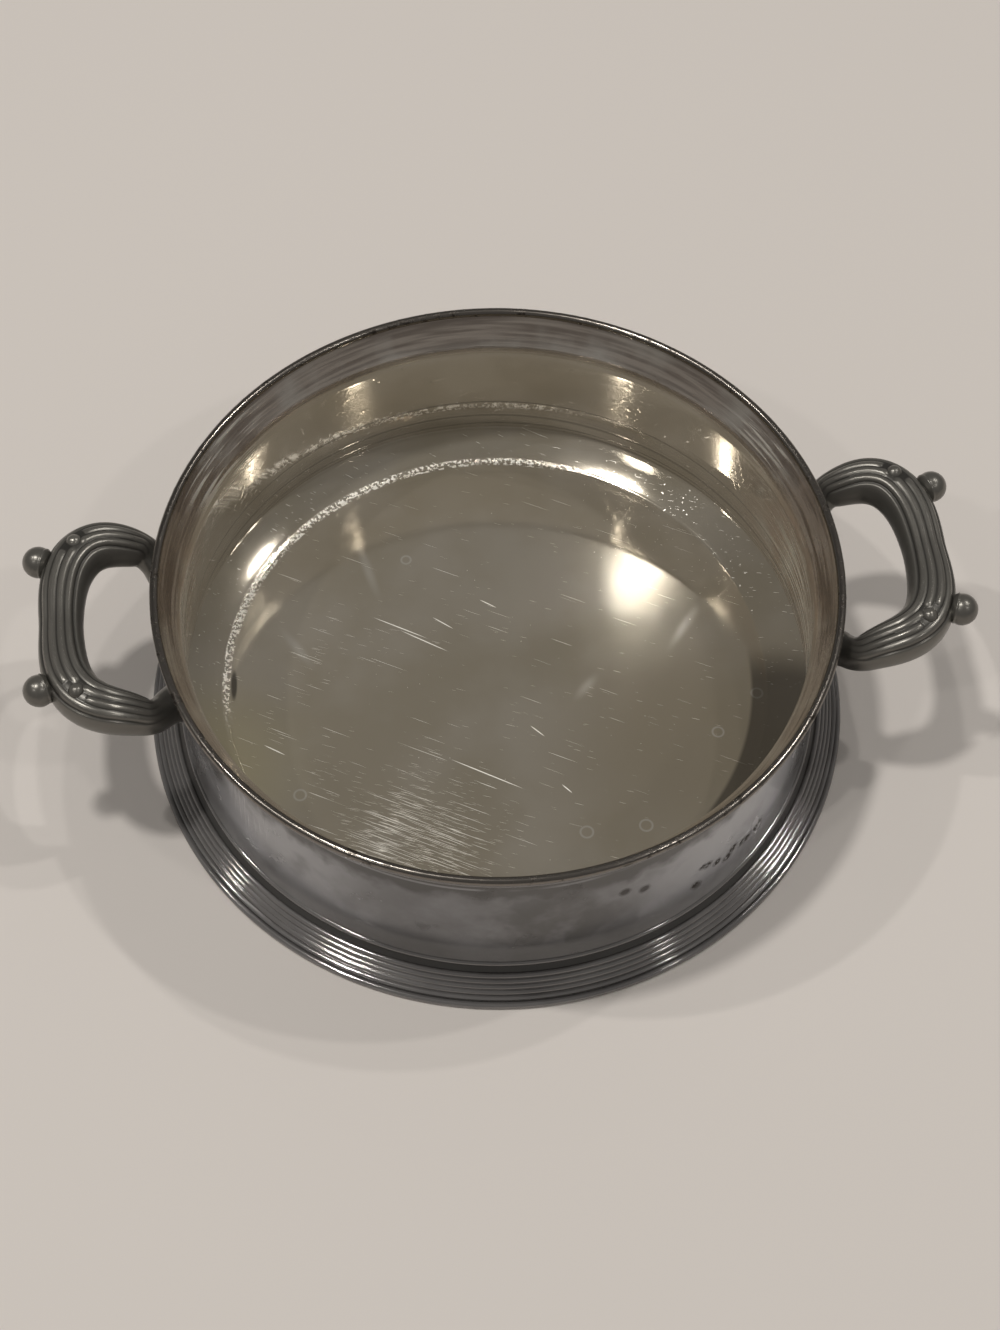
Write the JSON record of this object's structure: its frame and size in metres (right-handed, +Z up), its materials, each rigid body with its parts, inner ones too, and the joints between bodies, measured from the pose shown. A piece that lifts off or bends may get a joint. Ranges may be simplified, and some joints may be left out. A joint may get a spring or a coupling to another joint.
{
  "type": "two-handled bowl",
  "caption": "Shallow round metal bowl with upright waisted sides, a beaded rim, a spreading reeded foot and a reeded loop handle with ball knobs on each side.",
  "frame": {"origin": "on the table under the bowl's axis, at the centre of the foot's circle", "axes": "+X through the middle of the right handle's grip, +Y towards the rear, +Z up the bowl's axis"},
  "size_m": [0.2922, 0.2274, 0.0711],
  "materials": {
    "silver_inside": "gloss",
    "silver_bead": "satin",
    "pewter_outside": "satin",
    "pewter_foot": "satin",
    "tarnished_handle": "satin",
    "tarnished_knob": "satin"
  },
  "bodies": {
    "root": {"side_wall": "pewter_outside", "floor_pan": "silver_inside", "rim_bead": "silver_bead", "rim_border": "pewter_outside", "foot_flange": "pewter_foot", "foot_wire": "pewter_foot", "left_grip": "tarnished_handle", "left_front_arm": "tarnished_handle", "left_rear_arm": "tarnished_handle", "left_front_pad": "tarnished_handle", "left_rear_pad": "tarnished_handle", "left_front_knob": "tarnished_knob", "left_rear_knob": "tarnished_knob", "left_front_stud": "tarnished_knob", "left_rear_stud": "tarnished_knob", "right_grip": "tarnished_handle", "right_front_arm": "tarnished_handle", "right_rear_arm": "tarnished_handle", "right_front_pad": "tarnished_handle", "right_rear_pad": "tarnished_handle", "right_front_knob": "tarnished_knob", "right_rear_knob": "tarnished_knob", "right_front_stud": "tarnished_knob", "right_rear_stud": "tarnished_knob"}
  },
  "joints": []
}
